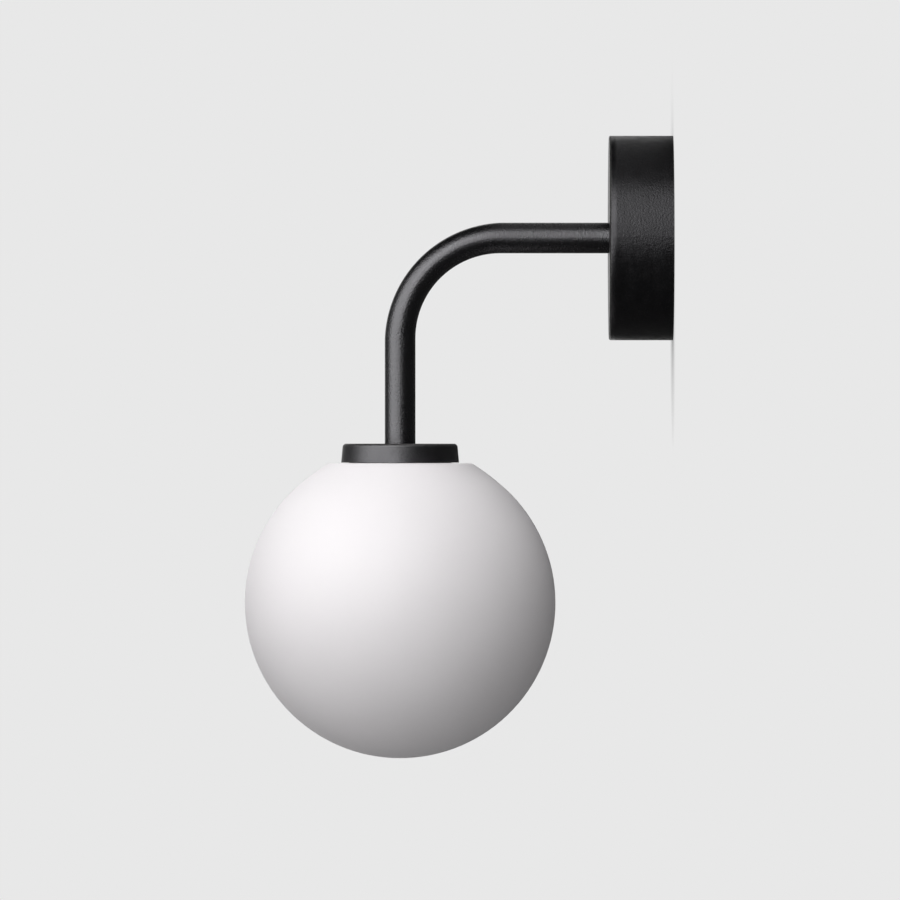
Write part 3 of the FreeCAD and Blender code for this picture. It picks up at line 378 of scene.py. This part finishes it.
feed(tree, shader, Base_Color=tint(tree, stripe, GREEN, YELLOW))
finish(striped, "earth_wire")


# The canopy, arm and cap: drawn and bent steel under one satin black powder coat. The coat cures
# in a low pebbled grain over slow waves, is rubbed in faint upright smears on the canopy, and is
# painted brighter along the turned-over edges: partly the coat worn thin, partly a painted
# highlight of the rounded edge.
coat, coat_in, coat_out = new_group("powder coat", {"Place": None, "Grain": 0.0009},
                                    ["Pebbles", "Smears", "Waves"])
pebbles_per_metre = maths(coat, "DIVIDE", 1.0, coat_in["Grain"])
pebbles = add_node(coat, "ShaderNodeTexNoise", {"Vector": coat_in["Place"], "Detail": 2.5,
                                                "Scale": pebbles_per_metre, "Roughness": 0.6})
upright = add_node(coat, "ShaderNodeMapping", {"Vector": coat_in["Place"],
                                               "Scale": (1.0, 1.0, 0.6)})
smears = noise(coat, upright.outputs["Vector"], 0.006, detail=4, roughness=0.65)
waves = noise(coat, coat_in["Place"], 0.012, detail=1)
coat.links.new(run(coat, pebbles.outputs["Fac"], 0, 1, 0.28, 0.72), coat_out["Pebbles"])
coat.links.new(run(coat, smears, 0, 1, 0.38, 0.62), coat_out["Smears"])
coat.links.new(run(coat, waves, 0, 1, 0.35, 0.65), coat_out["Waves"])

COAT_LOW = (0.0014, 0.0013, 0.0016)
COAT_HIGH = (0.0034, 0.0032, 0.0036)
# The colour of the brighter edges: worn coat together with a painted highlight.
COAT_WORN_AND_SHEEN = (0.05, 0.049, 0.048)
COAT_GLOSS = (0.97, 0.96, 1.0, 1.0)
WAVE_DEPTH = 0.00004
ROLL_DEPTH = 0.001


def powder_coat(name, roughness, smearing, specular, edge_wear_and_sheen=None, roll=None, size=0.0009,
                depth=0.00006):
    """Satin black powder coat, with a mask of edges painted brighter as worn coat and painted
    highlight, and where it rolls over.
    """
    material, tree, shader, place = new_material(name, Specular_IOR_Level=specular,
                                                 Specular_Tint=COAT_GLOSS)
    surface = add_group(tree, coat, Place=place, Grain=size)
    black = tint(tree, surface["Pebbles"], COAT_LOW, COAT_HIGH)
    # The edge mask paints the coat brighter: partly worn coat, partly a painted highlight of the
    # rounded edge.
    if edge_wear_and_sheen:
        worn_and_sheen = maths(tree, "MULTIPLY", edge_wear_and_sheen(tree, place), surface["Pebbles"])
        black = tint(tree, worn_and_sheen, black, COAT_WORN_AND_SHEEN)
    under = {"Normal": bumped(tree, roll(tree, place), ROLL_DEPTH)} if roll else {}
    waved = bumped(tree, surface["Waves"], WAVE_DEPTH, 0.6, **under)
    smeared = run(tree, surface["Smears"], roughness - smearing, roughness + smearing)
    feed(tree, shader, Base_Color=black, Roughness=smeared,
         Normal=bumped(tree, surface["Pebbles"], depth, Normal=waved))
    return material


CANOPY_RADIUS = 0.050
CANOPY_FRONT = -0.0314
# The canopy's edges, where the coat is painted brighter as wear and as a painted highlight.
CANOPY_OUTER_WEAR_AND_SHEEN = (CANOPY_RADIUS - 0.0012, CANOPY_RADIUS - 0.0002)
CANOPY_FRONT_WEAR_AND_SHEEN = (CANOPY_FRONT + 0.0003, CANOPY_FRONT + 0.0014)
CANOPY_BACK_WEAR_AND_SHEEN = (-0.0007, -0.0001)
CANOPY_ROLL = (CANOPY_FRONT, CANOPY_FRONT + 0.0036)


def canopy_edges(tree, place):
    """One along the canopy's turned-over front edge and its back rim, nothing elsewhere."""
    part = measures(tree, place)
    outer = run(tree, distance_off(tree, part["X"], part["Z"]), 0, 1, *CANOPY_OUTER_WEAR_AND_SHEEN)
    front = run(tree, part["Y"], 1, 0, *CANOPY_FRONT_WEAR_AND_SHEEN)
    back = run(tree, part["Y"], 0, 1, *CANOPY_BACK_WEAR_AND_SHEEN)
    return maths(tree, "MULTIPLY", outer, maths(tree, "MAXIMUM", front, back))


def canopy_roll(tree, place):
    """Falls off toward the front edge, where the drawn side rolls over softly under the coat."""
    nearness = run(tree, measures(tree, place)["Y"], 1, 0, *CANOPY_ROLL)
    return maths(tree, "SUBTRACT", 1.0, maths(tree, "MULTIPLY", nearness, nearness))


CAP_TOP = -0.1006
# The cap's top edge, where the coat is painted brighter as wear and as a painted highlight.
CAP_OUTER_WEAR_AND_SHEEN = (0.0258, 0.0272)
CAP_TOP_WEAR_AND_SHEEN = (CAP_TOP - 0.0018, CAP_TOP - 0.0006)


def cap_edge(tree, place):
    """One along the cap's top edge, nothing elsewhere."""
    part = measures(tree, centred(tree, place, DROP_AXIS))
    outer = run(tree, distance_off(tree, part["X"], part["Y"]), 0, 1, *CAP_OUTER_WEAR_AND_SHEEN)
    top = run(tree, part["Z"], 0, 1, *CAP_TOP_WEAR_AND_SHEEN)
    return maths(tree, "MULTIPLY", outer, top)


canopy_coat = powder_coat("black powder coat on the canopy", 0.33, 0.05, 0.38, canopy_edges,
                          canopy_roll)
arm_coat = powder_coat("black powder coat on the arm", 0.26, 0.02, 0.80, size=0.00075,
                       depth=0.00009)
cap_coat = powder_coat("black powder coat on the cap", 0.41, 0.03, 0.78, cap_edge)
finish(canopy_coat, "canopy")
finish(arm_coat, "arm_tube")
finish(cap_coat, "globe_cap")


# The threaded ring under the cap is turned from aluminium, and the globe's neck screws up over it
# against a white silicone gasket.
ALUMINIUM = (0.80, 0.80, 0.81), (0.70, 0.70, 0.72)
SILICONE = (0.84, 0.84, 0.82), (0.80, 0.80, 0.78)
finish(turned_metal("turned aluminium", *ALUMINIUM, ROUND_DROP_AXIS), "thread_ring")
finish(moulded("white silicone", *SILICONE, 0.5), "neck_gasket")


# The lampholder is unglazed white steatite, pressed and fired hard. It hangs between the two legs
# of its bracket, held by a screw from each side.
STEATITE = (0.84, 0.82, 0.76), (0.78, 0.75, 0.68)
finish(moulded("steatite", *STEATITE, 0.6, size=0.0009, depth=0.00004), "lampholder")


# The lamp that plugs into it: a white plastic foot, a frosted cover, and inside it a white board
# with two columns of yellow light chips on each face.
FOOT_WHITE = (0.88, 0.88, 0.86), (0.85, 0.85, 0.83)
COVER_WHITE = (0.92, 0.92, 0.90), (0.90, 0.90, 0.88)
BOARD_WHITE = (0.84, 0.84, 0.80)
CHIP_YELLOW = (0.86, 0.66, 0.10)
CHIP_COLUMN = 0.0026
CHIP_HALF_WIDTH = 0.0012
CHIP_PITCH = 0.0034
CHIP_RISE = 0.0003
finish(moulded("lamp foot plastic", *FOOT_WHITE, 0.25), "lamp_base")
finish(moulded("frosted cover", *COVER_WHITE, 0.5, Transmission_Weight=0.5), "lamp_capsule")
board, tree, shader, place = new_material("lamp board", Roughness=0.4)
part = measures(tree, centred(tree, place, DROP_AXIS))
aside = maths(tree, "SUBTRACT", maths(tree, "ABSOLUTE", part["X"]), CHIP_COLUMN)
in_column = maths(tree, "LESS_THAN", maths(tree, "ABSOLUTE", aside), CHIP_HALF_WIDTH)
row = maths(tree, "PINGPONG", part["Z"], CHIP_PITCH / 2)
in_row = maths(tree, "GREATER_THAN", row, CHIP_PITCH / 8)
chip = maths(tree, "MULTIPLY", in_column, in_row)
feed(tree, shader, Base_Color=tint(tree, chip, BOARD_WHITE, CHIP_YELLOW),
     Normal=bumped(tree, chip, CHIP_RISE))
finish(board, "lamp_board")


# The globe: mouth-blown opal glass, milky all through. The outside is etched to an even satin,
# the inside is left bright from the fire, and the blown wall has faint, slow waves.
GLOBE_MIDDLE = (0.0, -0.1335, -0.17845)
INSIDE_RADIUS = 0.0748
OPAL_LOW = (0.890, 0.864, 0.880)
OPAL_HIGH = (0.918, 0.891, 0.907)
INSIDE_ROUGHNESS = 0.12
ETCHED_ROUGHNESS = 0.55
opal, tree, shader, place = new_material("satin opal glass", IOR=1.5, Specular_IOR_Level=0.16)
from_middle = centred(tree, place, GLOBE_MIDDLE)
reach = add_node(tree, "ShaderNodeVectorMath", {0: from_middle}, operation="LENGTH")
etched = maths(tree, "GREATER_THAN", reach.outputs["Value"], INSIDE_RADIUS)
satin = add_group(tree, grain, Place=place, Size=0.0005)
waves = noise(tree, from_middle, 0.045, detail=1)
feed(tree, shader, Base_Color=tint(tree, waves, OPAL_LOW, OPAL_HIGH),
     Roughness=run(tree, etched, INSIDE_ROUGHNESS, ETCHED_ROUGHNESS),
     Normal=bumped(tree, satin["Height"], 0.000012, 0.5))
finish(opal, "glass_globe")


# The stand-in for a room: a wall that the light hangs on, with a hole behind the canopy for the
# cable, and a pale floor well below. Both are clear from behind. The eye gets them as a glow at the
# pale grey of the backdrop: the wall with a painted soft shadow, and the floor with the one the
# lamps cast on its lit share.
PALE = (0.807, 0.807, 0.807)
# The grey and the reach of the painted soft shadow in the wall's glow.
SHADOW_GREY = (0.08, 0.08, 0.083)
SHADOW_REACH = 0.056
TOWARD_LAMPS = {"X": 0.5, "Y": -0.7, "Z": 0.5}
FLAG_GREY = (0.07, 0.07, 0.07)
BACKDROP_GREY = (0.65, 0.65, 0.65)
PAST_WALL = (0.05, 0.30)
WALL_LIGHT = (0.30, 0.30, 0.30)
WALL_DARK = (0.29, 0.29, 0.29)
FLOOR_LIGHT = (0.38, 0.38, 0.38)
FLOOR_DARK = (0.37, 0.37, 0.37)
CABLE_HOLE_RADIUS = 0.0495
WALL_TO_HOLE = 50
FLOOR_SIZE = 8.0
FLOOR_LEVEL = -1.5


def mixed(tree, share, first, second):
    """Two shaders in one, with this share of the second."""
    return add_node(tree, "ShaderNodeMixShader", {0: share, 1: first, 2: second}).outputs["Shader"]


def glowing(tree, colour, strength=1.0):
    """A shader that shows its colour whatever light falls on it."""
    made = add_node(tree, "ShaderNodeEmission", {"Color": colour, "Strength": strength})
    return made.outputs["Emission"]


def plaster(name, light, dark, lit_share, glow):
    """Rolled paint, clear from behind, dark in mirrored light, seen lit to lit_share, else a glow
    with a painted shadow.
    """
    material, tree, shader, place = new_material(name, Roughness=0.9, Specular_IOR_Level=0.1)
    stipple = add_group(tree, grain, Place=place, Size=0.004)
    feed(tree, shader, Base_Color=tint(tree, stipple["Cloud"], dark, light))
    lit = shader.outputs["BSDF"]
    lamps_side = add_node(tree, "ShaderNodeCombineXYZ", TOWARD_LAMPS).outputs["Vector"]
    # A painted soft shadow: the camera's glow darkens toward SHADOW_GREY wherever a piece lies
    # within SHADOW_REACH toward the lamps.
    unshaded = add_node(tree, "ShaderNodeAmbientOcclusion", {"Distance": SHADOW_REACH,
                                                             "Normal": lamps_side}, samples=8)
    even = glowing(tree, tint(tree, unshaded.outputs["AO"], SHADOW_GREY, PALE), glow)
    seen = mixed(tree, lit_share, even, lit)
    past_wall = run(tree, measures(tree, place)["Y"], 0, 1, *PAST_WALL)
    flag = glowing(tree, tint(tree, past_wall, FLAG_GREY, BACKDROP_GREY))
    rays = tree.nodes.new("ShaderNodeLightPath").outputs
    front = mixed(tree, rays["Is Camera Ray"], mixed(tree, rays["Is Glossy Ray"], lit, flag), seen)
    clear = tree.nodes.new("ShaderNodeBsdfTransparent").outputs["BSDF"]
    behind = tree.nodes.new("ShaderNodeNewGeometry").outputs["Backfacing"]
    one_sided = mixed(tree, behind, front, clear)
    tree.links.new(one_sided, tree.nodes["Material Output"].inputs["Surface"])
    return material


clear_selection()
bpy.ops.mesh.primitive_circle_add(vertices=96, radius=CABLE_HOLE_RADIUS,
                                  rotation=(math.radians(90), 0, 0))
wall = bpy.context.object
wall.name = "wall"
bpy.ops.object.mode_set(mode="EDIT")
bpy.ops.mesh.select_all(action="SELECT")
bpy.ops.mesh.extrude_edges_move()
bpy.ops.transform.resize(value=(WALL_TO_HOLE, WALL_TO_HOLE, WALL_TO_HOLE))
bpy.ops.mesh.select_all(action="SELECT")
bpy.ops.mesh.normals_make_consistent(inside=True)
bpy.ops.object.mode_set(mode="OBJECT")
wall.data.materials.append(plaster("wall paint", WALL_LIGHT, WALL_DARK, 0.0, 1.0))

clear_selection()
bpy.ops.mesh.primitive_plane_add(size=FLOOR_SIZE, location=(0, 0, FLOOR_LEVEL))
floor = bpy.context.object
floor.name = "floor"
floor.data.materials.append(plaster("floor paint", FLOOR_LIGHT, FLOOR_DARK, 0.35, 1.38))


# The air around it. The eye sees the pale backdrop everywhere. The coat and the glass mirror it
# only past the far side and behind the wall, and a dark room elsewhere. Other light is a dim grey.
ROOM_LIGHT = (0.36, 0.36, 0.36)
DARK_ROOM = (0.018, 0.018, 0.018)
PAST_FAR_SIDE = (-0.80, -0.94)
BEHIND_WALL = (0.10, 0.35)
world = bpy.data.worlds.new("studio")
bpy.context.scene.world = world
world.use_nodes = True
tree = world.node_tree
rays = tree.nodes.new("ShaderNodeLightPath").outputs
way = measures(tree, tree.nodes.new("ShaderNodeTexCoord").outputs["Generated"])
toward_backdrop = maths(tree, "MAXIMUM", run(tree, way["X"], 0, 1, *PAST_FAR_SIDE),
                        run(tree, way["Y"], 0, 1, *BEHIND_WALL))
mirrored = maths(tree, "MAXIMUM", rays["Is Glossy Ray"], rays["Is Transmission Ray"])
mirrored_backdrop = maths(tree, "MULTIPLY", mirrored, toward_backdrop)
shown = maths(tree, "MAXIMUM", rays["Is Camera Ray"], mirrored_backdrop)
backdrop = tint(tree, shown, tint(tree, mirrored, ROOM_LIGHT, DARK_ROOM), PALE)
tree.links.new(backdrop, tree.nodes["Background"].inputs["Color"])


# The lamps: a key light high on the left, a wide one above the camera and three fills give the
# shading, and three cards, on the left, above the camera and toward the room, show in the black
# coat. A small lamp behind the wall lights the inside of the canopy.
MIDDLE = (0.0, -0.109, -0.104)


def toward(left, up, distance):
    """A place at this distance, so many degrees left of the camera's side and so many up."""
    left, up = math.radians(left), math.radians(up)
    return (MIDDLE[0] + distance * math.cos(up) * math.cos(left),
            MIDDLE[1] - distance * math.cos(up) * math.sin(left),
            MIDDLE[2] + distance * math.sin(up))


def softbox(name, place, width, height, watts, aim=MIDDLE):
    """A rectangular area lamp at a place, aimed at a point, that the camera doesn't see."""
    clear_selection()
    bpy.ops.object.light_add(type="AREA", location=place)
    lamp = bpy.context.object
    lamp.name = name
    lamp.data.shape = "RECTANGLE"
    lamp.data.size = width
    lamp.data.size_y = height
    lamp.data.energy = watts
    lamp.rotation_euler = (Vector(aim) - Vector(place)).to_track_quat("-Z", "Y").to_euler()
    lamp.visible_camera = False
    return lamp


FAR_SIDE = (-2.2, -0.45, 0.35)
IN_THE_ROOM = (-0.7, -2.4, -0.1)
BEHIND_CANOPY = (0.25, 0.9, 0.3)
CANOPY_MIDDLE = (0, 0, 0)
shading_lamps = [
    softbox("key light", toward(36, 30, 1.9), 1.6, 1.6, 11.6),
    softbox("wide light", toward(0, 28, 2.6), 2.4, 2.2, 41.0),
    softbox("top fill", toward(20, 80, 2.0), 1.8, 1.8, 16.2),
    softbox("low fill", toward(60, -30, 2.0), 1.6, 1.6, 5.4),
    softbox("far side fill", FAR_SIDE, 1.6, 1.6, 13.0),
]
mirrored_cards = [
    softbox("side card", toward(54, 15, 1.85), 2.2, 2.4, 61.0),
    softbox("front card", toward(0, 28, 2.4), 2.2, 2.8, 76.0),
    softbox("room card", IN_THE_ROOM, 2.2, 2.6, 3.5),
]
for lamp in shading_lamps:
    lamp.visible_glossy = False
for card in mirrored_cards:
    card.visible_diffuse = False
softbox("light behind the wall", BEHIND_CANOPY, 0.5, 0.5, 5.0, aim=CANOPY_MIDDLE)


# The camera stands level with the middle of the light, seven metres to its right-hand side, and
# looks along the wall.
CAMERA_DISTANCE = 7.0
PICTURE_MIDDLE = (-0.1091, -0.1037)
ALONG_WALL = (math.radians(90), 0, math.radians(90))
SENSOR_WIDTH = 36.0
MILLIMETRES_PER_PIXEL = 0.4892
PICTURE_WIDTH = 900
clear_selection()
bpy.ops.object.camera_add(location=(CAMERA_DISTANCE, *PICTURE_MIDDLE), rotation=ALONG_WALL)
camera = bpy.context.object
camera.name = "camera"
camera.data.sensor_width = SENSOR_WIDTH
camera.data.lens = (CAMERA_DISTANCE * 1000 * SENSOR_WIDTH
                    / (MILLIMETRES_PER_PIXEL * PICTURE_WIDTH))
camera.data.clip_end = 100.0
bpy.context.scene.camera = camera
bpy.context.scene.view_settings.view_transform = "Standard"
